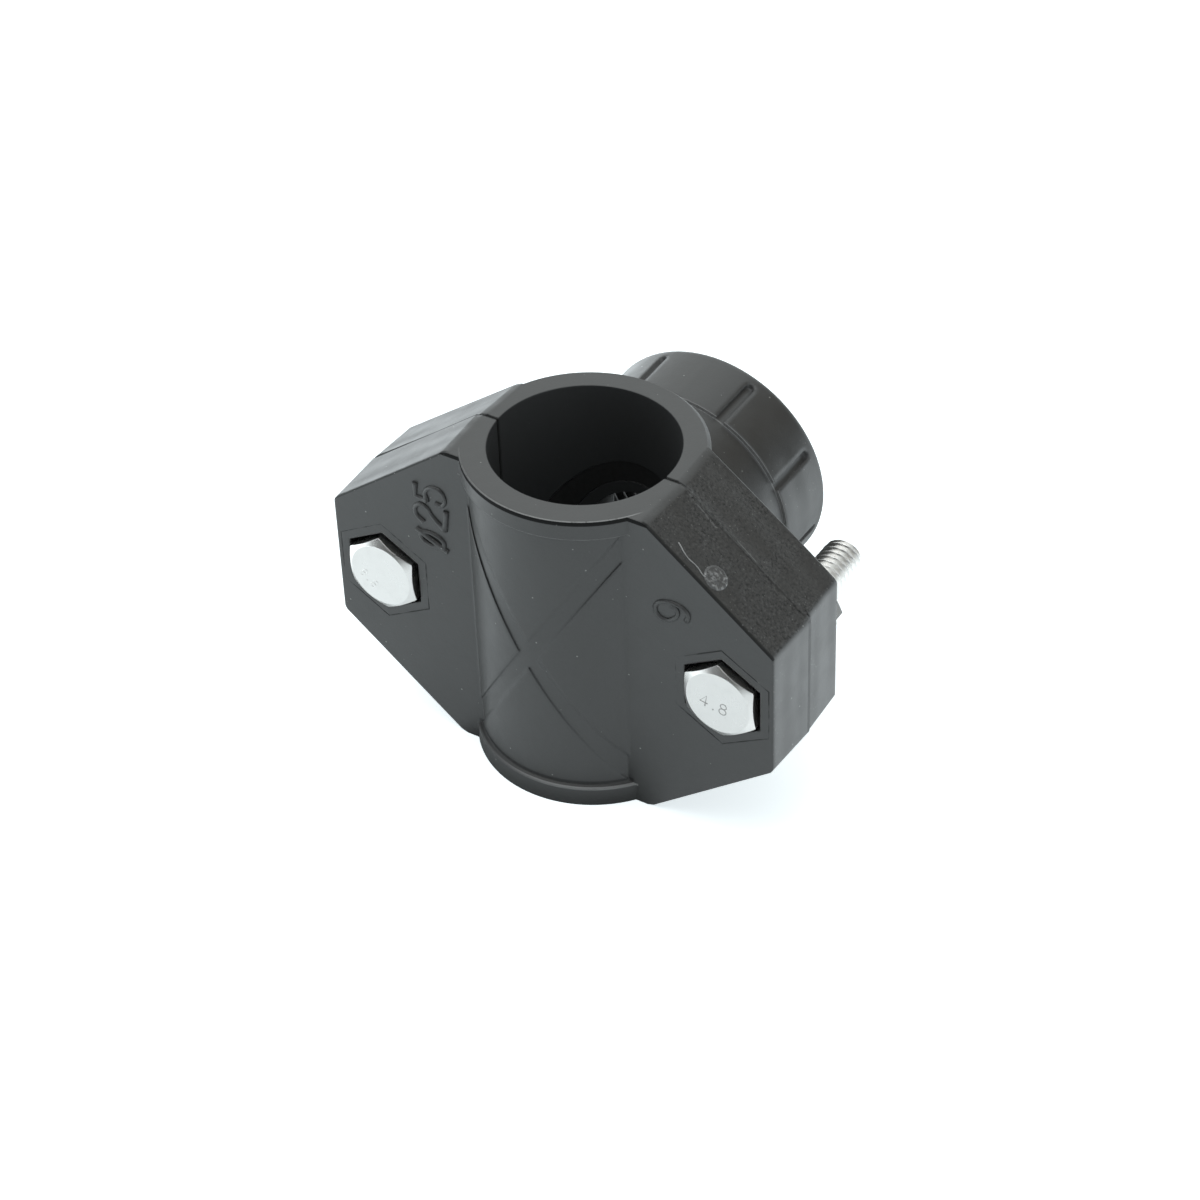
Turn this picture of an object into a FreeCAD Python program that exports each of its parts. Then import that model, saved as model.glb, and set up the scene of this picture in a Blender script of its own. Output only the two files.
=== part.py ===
import FreeCAD, Part
import os
import Sketcher

# Tapping saddle for a 25 mm pipe.
# The pipe runs up the Z axis, and the saddle stands on its lower end face at z = 0.
# The outlet points along +Y, and the two ears reach out along X.

Vector = FreeCAD.Vector
Rotation = FreeCAD.Rotation
Placement = FreeCAD.Placement

# Driving dimensions in millimetres and degrees
SIZES = (
    ("pipe_diameter", 25.0),
    ("body_height", 47.6),
    ("parting", 1.0),
    ("parting_gap", 0.2),
    ("front_face", 10.15),
    ("back_face", 7.05),
    ("front_half_width", 33.1),
    ("front_side_half", 9.4),
    ("front_top_half", 14.75),
    ("front_draft", 2.0),
    ("back_half_width", 33.1),
    ("back_side_half", 9.9),
    ("back_top_half", 14.85),
    ("back_draft", 2.0),
    ("ear_overhang", 2.0),
    ("trim_inset", 0.35),
    ("corner_round", 1.2),
    ("inner_break", 0.55),
    ("back_edge_break", 0.25),
    ("root_round", 0.5),
    ("bore_break", 0.4),
    ("lip_radius", 16.05),
    ("lip_height", 2.8),
    ("lip_ramp", 0.35),
    ("panel_radius", 15.4),
    ("cross_width", 2.3),
    ("cross_lean", 32.0),
    ("cross_depth", 0.18),
    ("back_radius", 16.05),
    ("back_end_break", 0.6),
    ("bolt_offset", 25.75),
    ("bolt_drift", -0.1),
    ("bolt_sag", 0.25),
    ("bolt_turn", -3.0),
    ("bolt_hole", 6.6),
    ("pocket_flats", 11.0),
    ("pocket_depth", 3.0),
    ("bolt_diameter", 6.0),
    ("bolt_length", 30.0),
    ("bolt_point", 0.7),
    ("head_flats", 10.0),
    ("head_height", 4.0),
    ("nut_flats", 10.0),
    ("nut_height", 5.0),
    ("nut_bore", 6.1),
    ("nut_turn", -6.0),
    ("crown_ratio", 0.92),
    ("socket_radius", 16.95),
    ("mouth_radius", 17.1),
    ("socket_end", 32.7),
    ("shoulder", 22.4),
    ("neck_radius", 16.5),
    ("rim_round", 0.7),
    ("thread_diameter", 26.44),
    ("thread_depth", 15.0),
    ("mouth_chamfer", 0.6),
    ("passage_diameter", 14.5),
    ("flute_width", 1.3),
    ("flute_rim", 1.8),
    ("seal_inner", 9.0),
    ("seal_outer", 12.2),
    ("seal_depth", 2.1),
    ("seal_gap", 0.05),
)

# Angles of the outlet's grip flutes on each side of its top, in degrees
FLUTE_ANGLES = (23.5, 63.6, 105.0, 147.0)

FAR = 200.0

doc = FreeCAD.newDocument("TappingSaddle")
sheet = doc.addObject("Spreadsheet::Sheet", "Sizes")
for row, (alias, size) in enumerate(SIZES, start=1):
    sheet.set("A%d" % row, alias)
    sheet.set("B%d" % row, str(size))
    sheet.setAlias("B%d" % row, alias)
doc.recompute()

MIDDLE = "Sizes.body_height / 2"


# Helpers for sketches and features

def value(expression):
    """The number that an expression on the sheet has now."""
    return float(sheet.evalExpression(expression))


def new_body(label):
    body = doc.addObject("PartDesign::Body", label)
    body.Label = label
    return body


def new_sketch(body, name, role, offset="0", rise="0"):
    """A sketch on one of the body's origin planes, moved along its normal and up."""
    sketch = body.newObject("Sketcher::SketchObject", name)
    plane = [item for item in body.Origin.OriginFeatures if item.Role == role][0]
    sketch.AttachmentSupport = (plane, [""])
    sketch.MapMode = "FlatFace"
    sketch.setExpression("AttachmentOffset.Base.z", offset)
    sketch.setExpression("AttachmentOffset.Base.y", rise)
    return sketch


def dimension(sketch, constraint, expression):
    """Add a dimension to a sketch and bind it to the sheet."""
    place = sketch.addConstraint(constraint)
    sketch.setExpression("Constraints[%d]" % place, expression)


def draw_polygon(sketch, corners):
    """Closed outline through corners, each a pair of expressions for its two coordinates."""
    points = [Vector(value(across), value(up), 0) for across, up in corners]
    count = len(points)
    first = sketch.GeometryCount
    for index in range(count):
        line = Part.LineSegment(points[index], points[(index + 1) % count])
        sketch.addGeometry(line, False)
    for index in range(count):
        after = first + (index + 1) % count
        sketch.addConstraint(Sketcher.Constraint("Coincident", first + index, 2, after, 1))
    for index, (across, up) in enumerate(corners):
        item = first + index
        point = points[index]
        dimension(sketch, Sketcher.Constraint("DistanceX", -1, 1, item, 1, point.x), across)
        dimension(sketch, Sketcher.Constraint("DistanceY", -1, 1, item, 1, point.y), up)


def draw_circle(sketch, across, up, diameter):
    centre = Vector(value(across), value(up), 0)
    circle = Part.Circle(centre, Vector(0, 0, 1), value(diameter) / 2)
    item = sketch.addGeometry(circle, False)
    dimension(sketch, Sketcher.Constraint("DistanceX", -1, 1, item, 3, centre.x), across)
    dimension(sketch, Sketcher.Constraint("DistanceY", -1, 1, item, 3, centre.y), up)
    dimension(sketch, Sketcher.Constraint("Diameter", item, value(diameter)), diameter)


def hexagon_corners(flats, across="0", up="0", first_angle=30):
    """Corners of a regular hexagon. With a first angle of 30, one corner is at the top."""
    reach = "%s / sqrt(3)" % flats
    angles = [first_angle + 60 * step for step in range(6)]
    return [("%s + %s * cos(%d deg)" % (across, reach, angle),
             "%s + %s * sin(%d deg)" % (up, reach, angle)) for angle in angles]


def feature(body, kind, name, profile, **settings):
    """A feature made from a sketch. Text with the name of the sheet in it is an expression."""
    item = body.newObject("PartDesign::" + kind, name)
    item.Profile = profile
    for key, setting in settings.items():
        if isinstance(setting, str) and "Sizes." in setting:
            item.setExpression(key, setting)
        else:
            setattr(item, key, setting)
    doc.recompute()
    return item


def revolve(body, kind, name, profile, axis):
    """A full turn of a profile about one axis of its own sketch."""
    return feature(body, kind, name, profile, ReferenceAxis=(profile, [axis]), Angle=360.0)


def through(body, name, profile):
    """A pocket through everything, both ways."""
    return feature(body, "Pocket", name, profile, Type="ThroughAll", Type2="ThroughAll",
                   SideType="Symmetric")


def dress(body, kind, name, size, test):
    """A fillet or chamfer on the edges of the body's last feature that pass a test."""
    base = body.Tip
    names = ["Edge%d" % number for number, edge in enumerate(base.Shape.Edges, start=1) if test(edge)]
    item = body.newObject("PartDesign::" + kind, name)
    item.Base = (base, names)
    item.setExpression("Radius" if kind == "Fillet" else "Size", size)
    doc.recompute()
    print("%s takes %d edges" % (name, len(names)))


def fillet(body, name, radius, test):
    dress(body, "Fillet", name, radius, test)


def chamfer(body, name, size, test):
    dress(body, "Chamfer", name, size, test)


def near(number, target, slack=0.02):
    return abs(number - target) < slack


# Steps that the two half shells share

def ear_corners(shell, inset="0"):
    """The ears' octagon. Its top and bottom stand clear of the end faces, to be cut level."""
    half, top = ["(Sizes.%s_%s - %s)" % (shell, part, inset) for part in ("half_width", "top_half")]
    side = "Sizes.%s_side_half" % shell
    slope = "((%s - %s) / (%s - %s))" % (half, top, MIDDLE, side)
    over = "(%s - %s * Sizes.ear_overhang)" % (top, slope)
    tall = "(%s + Sizes.ear_overhang)" % MIDDLE
    return [(half, side), (over, tall), ("-" + over, tall), ("-" + half, side),
            ("-" + half, "-" + side), ("-" + over, "-" + tall), (over, "-" + tall), (half, "-" + side)]


def trim_barrel(body, name, shell):
    """Cut the barrel back to just inside the slopes of the ears' octagon."""
    outside = new_sketch(body, name + "TrimSketch", "XZ_Plane", "0", MIDDLE)
    draw_polygon(outside, [("60", "60"), ("-60", "60"), ("-60", "-60"), ("60", "-60")])
    draw_polygon(outside, ear_corners(shell, "Sizes.trim_inset"))
    through(body, name + "Trim", outside)


def cut_block(body, name, low_y, high_y, low_z, high_z):
    """Cut away a block that spans the whole width."""
    block = new_sketch(body, name + "Sketch", "YZ_Plane")
    draw_polygon(block, [(low_y, low_z), (high_y, low_z), (high_y, high_z), (low_y, high_z)])
    feature(body, "Pocket", name, block, Length=2 * FAR, SideType="Symmetric")


def cut_ends(body, name):
    """Cut the ears level with the two end faces."""
    cut_block(body, name + "LowerEnd", "-60", "60", "-20", "0")
    cut_block(body, name + "UpperEnd", "-60", "60", "Sizes.body_height", "80")


def cut_pipe_bore(body, name):
    bore = new_sketch(body, name + "BoreSketch", "XY_Plane")
    draw_circle(bore, "0", "0", "Sizes.pipe_diameter")
    through(body, name + "Bore", bore)


def cut_bolt_holes(body, name):
    holes = new_sketch(body, name + "HoleSketch", "XZ_Plane")
    for side in ("", "-"):
        draw_circle(holes, side + "Sizes.bolt_offset", MIDDLE, "Sizes.bolt_hole")
    through(body, name + "BoltHoles", holes)


def is_ear_corner(edge):
    """An edge of the octagon that runs along the outlet, at the ear's outer side."""
    return abs(edge.CenterOfMass.x) > 30 and edge.BoundBox.YLength > 5


def is_inner_corner(edge):
    """An edge of the octagon that runs along the outlet, on an end face."""
    return 14 < abs(edge.CenterOfMass.x) < 16 and edge.BoundBox.YLength > 5


def break_bore_edges(body, name, parting):
    """Round the two long edges where the pipe bore meets the parting face."""
    place = value(parting)
    fillet(body, name + "BoreBreak", "Sizes.bore_break",
           lambda edge: near(edge.CenterOfMass.y, place) and edge.BoundBox.ZLength > 40
           and abs(edge.CenterOfMass.x) < 13)


# Clamp half: ears, lipped barrel, bore, pockets for the bolt heads and bolt holes

# The halves part in front of the pipe's axis, with a narrow gap between them
CLAMP_PARTING = "(-Sizes.parting - Sizes.parting_gap / 2)"
BRANCH_PARTING = "(-Sizes.parting + Sizes.parting_gap / 2)"


def make_clamp_half():
    body = new_body("ClampBody")

    barrel = new_sketch(body, "ClampBarrelSketch", "XZ_Plane")
    lip, panel = "Sizes.lip_radius", "Sizes.panel_radius"
    top = "Sizes.body_height"
    draw_polygon(barrel, [
        ("0", "0"), (lip, "0"), (lip, "Sizes.lip_height"),
        (panel, "Sizes.lip_height + Sizes.lip_ramp"),
        (panel, top + " - Sizes.lip_height - Sizes.lip_ramp"),
        (lip, top + " - Sizes.lip_height"), (lip, top), ("0", top)])
    revolve(body, "Revolution", "ClampBarrel", barrel, "V_Axis")
    cut_block(body, "ClampParting", CLAMP_PARTING, "60", "-20", "80")
    trim_barrel(body, "Clamp", "front")

    ears = new_sketch(body, "ClampEarSketch", "XZ_Plane", "Sizes.front_face", MIDDLE)
    draw_polygon(ears, ear_corners("front"))
    feature(body, "Pad", "ClampEars", ears, Length="Sizes.front_face + " + CLAMP_PARTING,
            Reversed=True, TaperAngle="Sizes.front_draft")
    cut_ends(body, "Clamp")
    fillet(body, "ClampEarCorners", "Sizes.corner_round", is_ear_corner)
    chamfer(body, "ClampInnerCorners", "Sizes.inner_break", is_inner_corner)
    face = value("Sizes.front_face")
    fillet(body, "ClampRoots", "Sizes.root_round",
           lambda edge: edge.BoundBox.ZLength > 30 and near(edge.CenterOfMass.y, -face)
           and near(abs(edge.CenterOfMass.x), 11.6, 0.3))
    cut_pipe_bore(body, "Clamp")
    break_bore_edges(body, "Clamp", CLAMP_PARTING)
    cut_bolt_holes(body, "Clamp")

    pockets = new_sketch(body, "ClampPocketSketch", "XZ_Plane", "Sizes.front_face")
    for side in ("", "-"):
        draw_polygon(pockets, hexagon_corners("Sizes.pocket_flats", side + "Sizes.bolt_offset", MIDDLE))
    feature(body, "Pocket", "ClampHeadPockets", pockets, Length="Sizes.pocket_depth")
    return body


# The shallow cross between the clamp barrel's lips is cut from the panel, square to the ears

def cylinder(name, radius, height, placement):
    item = doc.addObject("Part::Cylinder", name)
    item.setExpression("Radius", radius)
    item.setExpression("Height", height)
    item.Placement = placement
    return item


def boolean(kind, name, base, tool):
    item = doc.addObject("Part::" + kind, name)
    item.Base = base
    item.Tool = tool
    return item


def make_cross_cutter():
    bars = []
    for name, lean in (("CrossRising", "Sizes.cross_lean"), ("CrossFalling", "-Sizes.cross_lean")):
        bar = doc.addObject("Part::Box", name)
        bar.setExpression("Length", "Sizes.cross_width")
        bar.setExpression("Width", "Sizes.lip_radius - Sizes.front_face")
        bar.setExpression("Height", "2 * Sizes.body_height")
        bar.Placement.Rotation = Rotation(Vector(0, 1, 0), 1)
        bar.setExpression("Placement.Rotation.Angle", lean)
        half_width = "Sizes.cross_width / 2"
        bar.setExpression("Placement.Base.x", "-%s * cos(%s) - Sizes.body_height * sin(%s)"
                          % (half_width, lean, lean))
        bar.setExpression("Placement.Base.y", "-Sizes.lip_radius")
        bar.setExpression("Placement.Base.z", "%s + %s * sin(%s) - Sizes.body_height * cos(%s)"
                          % (MIDDLE, half_width, lean, lean))
        bars.append(bar)
    cross = boolean("Fuse", "CrossBars", *bars)
    outer = cylinder("CrossOuter", "Sizes.lip_radius", "Sizes.body_height - 2 * Sizes.lip_height"
                     " - 2 * Sizes.lip_ramp", Placement())
    inner = cylinder("CrossInner", "Sizes.panel_radius - Sizes.cross_depth", "Sizes.body_height",
                     Placement())
    outer.setExpression("Placement.Base.z", "Sizes.lip_height + Sizes.lip_ramp")
    sleeve = boolean("Cut", "CrossSleeve", outer, inner)
    return boolean("Common", "CrossCutter", cross, sleeve)


clamp_half = boolean("Cut", "ClampHalf", make_clamp_half(), make_cross_cutter())
clamp_half.Label = "clamp_half"


# Branch half: ears, barrel, neck and socket with the stepped way through to the pipe

def make_branch_body():
    body = new_body("BranchBody")

    barrel = new_sketch(body, "BranchBarrelSketch", "XY_Plane")
    draw_circle(barrel, "0", "0", "2 * Sizes.back_radius")
    feature(body, "Pad", "BranchBarrel", barrel, Length="Sizes.body_height")
    chamfer(body, "BranchBarrelEnds", "Sizes.back_end_break", lambda edge: edge.BoundBox.ZLength < 1)
    cut_block(body, "BranchParting", "-60", BRANCH_PARTING, "-20", "80")
    trim_barrel(body, "Branch", "back")

    ears = new_sketch(body, "BranchEarSketch", "XZ_Plane", "-" + BRANCH_PARTING, MIDDLE)
    draw_polygon(ears, ear_corners("back"))
    feature(body, "Pad", "BranchEars", ears, Length="Sizes.back_face - " + BRANCH_PARTING,
            Reversed=True, TaperAngle="-Sizes.back_draft")
    cut_ends(body, "Branch")
    fillet(body, "BranchEarCorners", "Sizes.corner_round", is_ear_corner)
    chamfer(body, "BranchInnerCorners", "Sizes.inner_break", is_inner_corner)
    back = value("Sizes.back_face")
    chamfer(body, "BranchBackEdges", "Sizes.back_edge_break",
            lambda edge: near(edge.CenterOfMass.y, back) and edge.BoundBox.YLength < 0.1
            and abs(edge.CenterOfMass.x) > 15)

    socket = new_sketch(body, "SocketSketch", "YZ_Plane", "0", MIDDLE)
    neck, rim, lip = "Sizes.neck_radius", "Sizes.socket_radius", "Sizes.mouth_radius"
    shoulder, end = "Sizes.shoulder", "Sizes.socket_end"
    draw_polygon(socket, [("0", "0"), (end, "0"), (end, lip), (shoulder, rim),
                          (shoulder, neck), ("0", neck)])
    revolve(body, "Revolution", "Socket", socket, "H_Axis")
    level = value(end)
    fillet(body, "SocketRim", "Sizes.rim_round", lambda edge: near(edge.CenterOfMass.y, level))

    way = new_sketch(body, "WaySketch", "YZ_Plane", "0", MIDDLE)
    passage, root = "Sizes.passage_diameter / 2", "Sizes.thread_diameter / 2"
    floor = "Sizes.socket_end - Sizes.thread_depth"
    mouth = "Sizes.mouth_chamfer"
    draw_polygon(way, [("0", "0"), (end, "0"), (end, root + " + " + mouth), (end + " - " + mouth, root),
                       (floor, root), (floor, passage), ("0", passage)])
    revolve(body, "Groove", "SocketWay", way, "H_Axis")
    cut_pipe_bore(body, "Branch")
    break_bore_edges(body, "Branch", BRANCH_PARTING)
    cut_bolt_holes(body, "Branch")
    return body


def make_seal_sleeve(name, gap):
    """The saddle-shaped space of the seal, between two tubes about the outlet and the pipe."""
    along_outlet = Rotation(Vector(1, 0, 0), -90)
    tubes = []
    for axis, inner, outer in (("Outlet", "Sizes.seal_inner + %s", "Sizes.seal_outer - %s"),
                               ("Pipe", "Sizes.pipe_diameter / 2 + %s",
                                "Sizes.pipe_diameter / 2 + Sizes.seal_depth - %s")):
        parts = []
        for end, radius in (("Outer", outer), ("Inner", inner)):
            turn = along_outlet if axis == "Outlet" else Rotation()
            item = cylinder(name + axis + end, radius % gap, "Sizes.body_height", Placement(Vector(), turn))
            if axis == "Outlet":
                item.setExpression("Placement.Base.z", MIDDLE)
            parts.append(item)
        tubes.append(boolean("Cut", name + axis + "Tube", *parts))
    return boolean("Common", name, *tubes)


def make_flute_cutter():
    """Round-ended slots round the outlet, open at the shoulder and as deep as the step there."""
    cutters = []
    for side in (1, -1):
        for angle in FLUTE_ANGLES:
            name = "Flute%s%d" % ("Right" if side > 0 else "Left", angle)
            body = new_body(name)
            slot = new_sketch(body, name + "Sketch", "XY_Plane", "Sizes.neck_radius")
            half = "Sizes.flute_width / 2"
            start = "Sizes.shoulder - 1"
            stop = "Sizes.socket_end - Sizes.flute_rim - Sizes.flute_width / 2"
            draw_polygon(slot, [("-" + half, start), (half, start), (half, stop), ("-" + half, stop)])
            feature(body, "Pad", name + "Slot", slot, Length="Sizes.socket_radius")
            tip = new_sketch(body, name + "TipSketch", "XY_Plane", "Sizes.neck_radius")
            draw_circle(tip, "0", stop, "Sizes.flute_width")
            feature(body, "Pad", name + "Tip", tip, Length="Sizes.socket_radius")
            body.Placement.Rotation = Rotation(Vector(0, 1, 0), side * angle)
            body.setExpression("Placement.Base.z", MIDDLE)
            cutters.append(body)
    cutter = doc.addObject("Part::MultiFuse", "FluteCutter")
    cutter.Shapes = cutters
    return cutter


branch_sealed = boolean("Cut", "BranchSealed", make_branch_body(), make_seal_sleeve("SealGroove", "0"))
branch_half = boolean("Cut", "BranchHalf", branch_sealed, make_flute_cutter())
branch_half.Label = "branch_half"


# Seal: a rubber ring that fills its groove up to the pipe

seal_ring = make_seal_sleeve("SealRing", "Sizes.seal_gap")
seal_ring.Label = "seal_ring"


# Screws and nuts. Both are made along +Z and turned to lie along the outlet.
# They lie a little low and to one side in their holes, and a little turned.

def place_fastener(body, side, rotation, level, turn):
    """Turn a fastener about its own axis, lay it along the outlet and seat it at a level."""
    body.Placement.Rotation = rotation * Rotation(Vector(0, 0, 1), value(turn))
    body.setExpression("Placement.Base.x", side + "Sizes.bolt_offset + Sizes.bolt_drift")
    body.setExpression("Placement.Base.y", level)
    body.setExpression("Placement.Base.z", MIDDLE + " - Sizes.bolt_sag")


def crown_cut(body, name, flats, high, upward):
    """Chamfer a hexagon's corners, leaving a round flat face."""
    profile = new_sketch(body, name + "Sketch", "XZ_Plane")
    crown = "Sizes.crown_ratio * %s / 2" % flats
    sign = "-" if upward else "+"
    fall = "2 * tan(30 deg)"
    draw_polygon(profile, [(crown, high), (crown + " + 2", high),
                           (crown + " + 2", "%s %s %s" % (high, sign, fall))])
    revolve(body, "Groove", name, profile, "V_Axis")


def make_bolt(label, side):
    body = new_body(label)
    head = new_sketch(body, label + "HeadSketch", "XY_Plane")
    draw_polygon(head, hexagon_corners("Sizes.head_flats", first_angle=0))
    feature(body, "Pad", label + "Head", head, Length="Sizes.head_height", Reversed=True)
    crown_cut(body, label + "Crown", "Sizes.head_flats", "-Sizes.head_height", False)
    shank = new_sketch(body, label + "ShankSketch", "XZ_Plane")
    radius, point, end = "Sizes.bolt_diameter / 2", "Sizes.bolt_point", "Sizes.bolt_length"
    draw_polygon(shank, [("0", "-1"), (radius, "-1"), (radius, end + " - " + point),
                         (radius + " - " + point, end), ("0", end)])
    revolve(body, "Revolution", label + "Shank", shank, "V_Axis")
    place_fastener(body, side, Rotation(Vector(1, 1, 1), 240),
                   "Sizes.pocket_depth - Sizes.front_face", "Sizes.bolt_turn")
    return body


def make_nut(label, side):
    body = new_body(label)
    block = new_sketch(body, label + "BlockSketch", "XY_Plane")
    draw_polygon(block, hexagon_corners("Sizes.nut_flats", first_angle=0))
    feature(body, "Pad", label + "Block", block, Length="Sizes.nut_height")
    crown_cut(body, label + "Back", "Sizes.nut_flats", "0", False)
    crown_cut(body, label + "Front", "Sizes.nut_flats", "Sizes.nut_height", True)
    hole = new_sketch(body, label + "HoleSketch", "XY_Plane")
    draw_circle(hole, "0", "0", "Sizes.nut_bore")
    through(body, label + "Hole", hole)
    place_fastener(body, side, Rotation(Vector(1, 0, 0), -90), "Sizes.back_face", "Sizes.nut_turn")
    return body


fasteners = []
for word, side in (("left", "-"), ("right", "")):
    fasteners.append(make_bolt("bolt_" + word, side))
    fasteners.append(make_nut("nut_" + word, side))


# Check the document and write each piece to a file of its own

doc.recompute()
for item in doc.Objects:
    if "Invalid" in item.State or "Error" in item.State:
        raise RuntimeError("%s failed: %s" % (item.Name, item.State))

os.makedirs("parts", exist_ok=True)
for piece in [clamp_half, branch_half, seal_ring] + fasteners:
    shape = piece.Shape
    if shape.isNull() or not shape.isValid() or len(shape.Solids) != 1:
        raise RuntimeError("%s has no single valid solid" % piece.Label)
    shape.exportStep("parts/%s.step" % piece.Label)
    print("%-12s %9.1f mm3, %3d faces" % (piece.Label, shape.Volume, len(shape.Faces)))
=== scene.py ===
# %% [markdown]
# # A tapping saddle for a 25 mm pipe
# A tapping saddle grips a plastic pipe between two moulded half shells. A hole is drilled into the pipe
# through its side outlet, and a branch is screwed into that outlet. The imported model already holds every
# piece at its true size and place, so this lesson only dresses it: it gives each surface its finish, cuts
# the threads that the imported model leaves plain, adds the moulded marks, and sets up camera and light.

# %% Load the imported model
import math

import bmesh
import bpy
from mathutils import Matrix, Vector, noise


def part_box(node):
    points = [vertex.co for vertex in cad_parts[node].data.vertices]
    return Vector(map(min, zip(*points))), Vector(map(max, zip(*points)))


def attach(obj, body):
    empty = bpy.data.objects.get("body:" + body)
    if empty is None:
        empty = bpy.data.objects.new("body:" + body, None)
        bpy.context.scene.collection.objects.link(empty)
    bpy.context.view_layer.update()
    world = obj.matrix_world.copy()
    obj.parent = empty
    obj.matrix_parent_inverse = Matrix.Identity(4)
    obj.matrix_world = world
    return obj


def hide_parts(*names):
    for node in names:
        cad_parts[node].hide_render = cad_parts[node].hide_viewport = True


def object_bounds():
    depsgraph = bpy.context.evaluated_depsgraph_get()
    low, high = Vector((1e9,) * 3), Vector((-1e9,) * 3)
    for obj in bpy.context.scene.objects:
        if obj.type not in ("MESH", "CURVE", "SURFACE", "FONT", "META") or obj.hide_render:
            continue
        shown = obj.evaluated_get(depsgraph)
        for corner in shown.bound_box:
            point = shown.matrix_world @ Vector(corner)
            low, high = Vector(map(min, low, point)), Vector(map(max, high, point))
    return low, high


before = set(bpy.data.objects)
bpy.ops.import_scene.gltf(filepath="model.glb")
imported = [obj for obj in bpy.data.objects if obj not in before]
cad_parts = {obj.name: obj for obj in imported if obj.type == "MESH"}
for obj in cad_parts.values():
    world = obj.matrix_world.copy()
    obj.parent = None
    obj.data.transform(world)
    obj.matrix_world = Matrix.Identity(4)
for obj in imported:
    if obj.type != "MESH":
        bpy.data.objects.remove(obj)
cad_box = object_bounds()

MM = 0.001
low, high = (Vector(corner) for corner in cad_box)
MIDDLE = (low + high) / 2
print("The saddle is %.1f x %.1f x %.1f mm" % tuple((high - low) / MM))

# %% [markdown]
# ## The camera
# The photograph looks down on the saddle from its front right. Its viewpoint was found by matching the edges
# of the model to those in the picture, which gives a direction, a distance and a focal length. Setting the
# camera first lets every later piece be compared with the photograph from the right place.

# %% Camera
AZIMUTH = math.radians(33.155)
ELEVATION = math.radians(39.795)
ROLL = math.radians(-2.317)
DISTANCE = 377.56 * MM
TARGET = Vector((25.40, -36.79, 59.04)) * MM
FOCAL_PIXELS = 3312.7
PHOTO_PIXELS = 1200
SENSOR_WIDTH = 36.0

level_right = Vector((math.cos(AZIMUTH), math.sin(AZIMUTH), 0))
back = Vector((math.sin(AZIMUTH) * math.cos(ELEVATION), -math.cos(AZIMUTH) * math.cos(ELEVATION),
               math.sin(ELEVATION)))
level_up = back.cross(level_right)
right = level_right * math.cos(ROLL) + level_up * math.sin(ROLL)
up = level_up * math.cos(ROLL) - level_right * math.sin(ROLL)

lens = bpy.data.cameras.new("Camera")
lens.sensor_fit = "HORIZONTAL"
lens.sensor_width = SENSOR_WIDTH
lens.lens = SENSOR_WIDTH * FOCAL_PIXELS / PHOTO_PIXELS
lens.clip_start = 10 * MM
lens.clip_end = 20
camera = bpy.data.objects.new("Camera", lens)
camera.matrix_world = Matrix((right, up, back)).transposed().to_4x4()
camera.location = TARGET + back * DISTANCE
bpy.context.scene.collection.objects.link(camera)
bpy.context.scene.camera = camera
bpy.context.scene.view_settings.view_transform = "Standard"
print("The lens is %.1f mm" % lens.lens)

# %% [markdown]
# ## Shader maths as expressions
# Finishes are easier to read as sums than as a web of nodes. This small class wraps a socket, so that an
# expression such as 1 - mask * 0.5 adds the Math nodes by itself. Colours and vectors have their own nodes,
# and every other node comes from one method, which takes its type, its settings and its sockets.

# %% A socket that can be calculated with
class Wire:
    """A node's output, to be used in sums and as another node's input."""

    def __init__(self, tree, socket=None):
        self.tree = tree
        self.socket = socket

    def node(self, kind, settings=None, inputs=None, output=0):
        """Add a node: first its settings, then the values or links of its sockets."""
        item = self.tree.nodes.new(kind)
        for name, setting in (settings or {}).items():
            setattr(item, name, setting)
        for name, entry in (inputs or {}).items():
            if isinstance(entry, Wire):
                self.tree.links.new(entry.socket, item.inputs[name])
            else:
                item.inputs[name].default_value = entry
        return Wire(self.tree, item.outputs[output]) if item.outputs else None

    def maths(self, operation, *others):
        sockets = dict(enumerate((self,) + others))
        return self.node("ShaderNodeMath", {"operation": operation}, sockets)

    def __add__(self, other):
        return self.maths("ADD", other)

    def __sub__(self, other):
        return self.maths("SUBTRACT", other)

    def __mul__(self, other):
        return self.maths("MULTIPLY", other)

    def __rsub__(self, other):
        return self * -1 + other

    __radd__ = __add__
    __rmul__ = __mul__

    def size(self):
        """The number without its sign."""
        return self.maths("ABSOLUTE")

    def most(self, other):
        return self.maths("MAXIMUM", other)

    def rise(self, start, stop):
        """A soft step from 0 at start to 1 at stop. It falls where start is the larger."""
        span = {"Value": self, "From Min": min(start, stop), "From Max": max(start, stop)}
        step = self.node("ShaderNodeMapRange", {"interpolation_type": "SMOOTHSTEP"}, span)
        return step if start < stop else 1 - step

    def band(self, middle, width, edge):
        """1 where the number is within half a width of the middle, with soft edges."""
        return (self - middle).size().rise(width / 2 + edge, width / 2)

    def dot(self, direction):
        """How far a vector goes along a direction."""
        inputs = {0: self, 1: direction}
        return self.node("ShaderNodeVectorMath", {"operation": "DOT_PRODUCT"}, inputs, "Value")

    def parts(self):
        """The three coordinates of a vector."""
        return [self.node("ShaderNodeSeparateXYZ", None, {0: self}, axis) for axis in "XYZ"]

    def noise(self, scale, detail=2.0, roughness=0.5):
        """Clouds with about scale lumps to the millimetre, round 0.5."""
        inputs = {"Vector": self, "Scale": scale / MM, "Detail": detail, "Roughness": roughness}
        return self.node("ShaderNodeTexNoise", None, inputs, 0)

    def blend(self, first, second):
        """Two colours, mixed by this number."""
        return self.node("ShaderNodeMix", {"data_type": "RGBA"}, {0: self, 6: first, 7: second}, 2)


def grey(shade):
    return (shade, shade, shade, 1)


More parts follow.
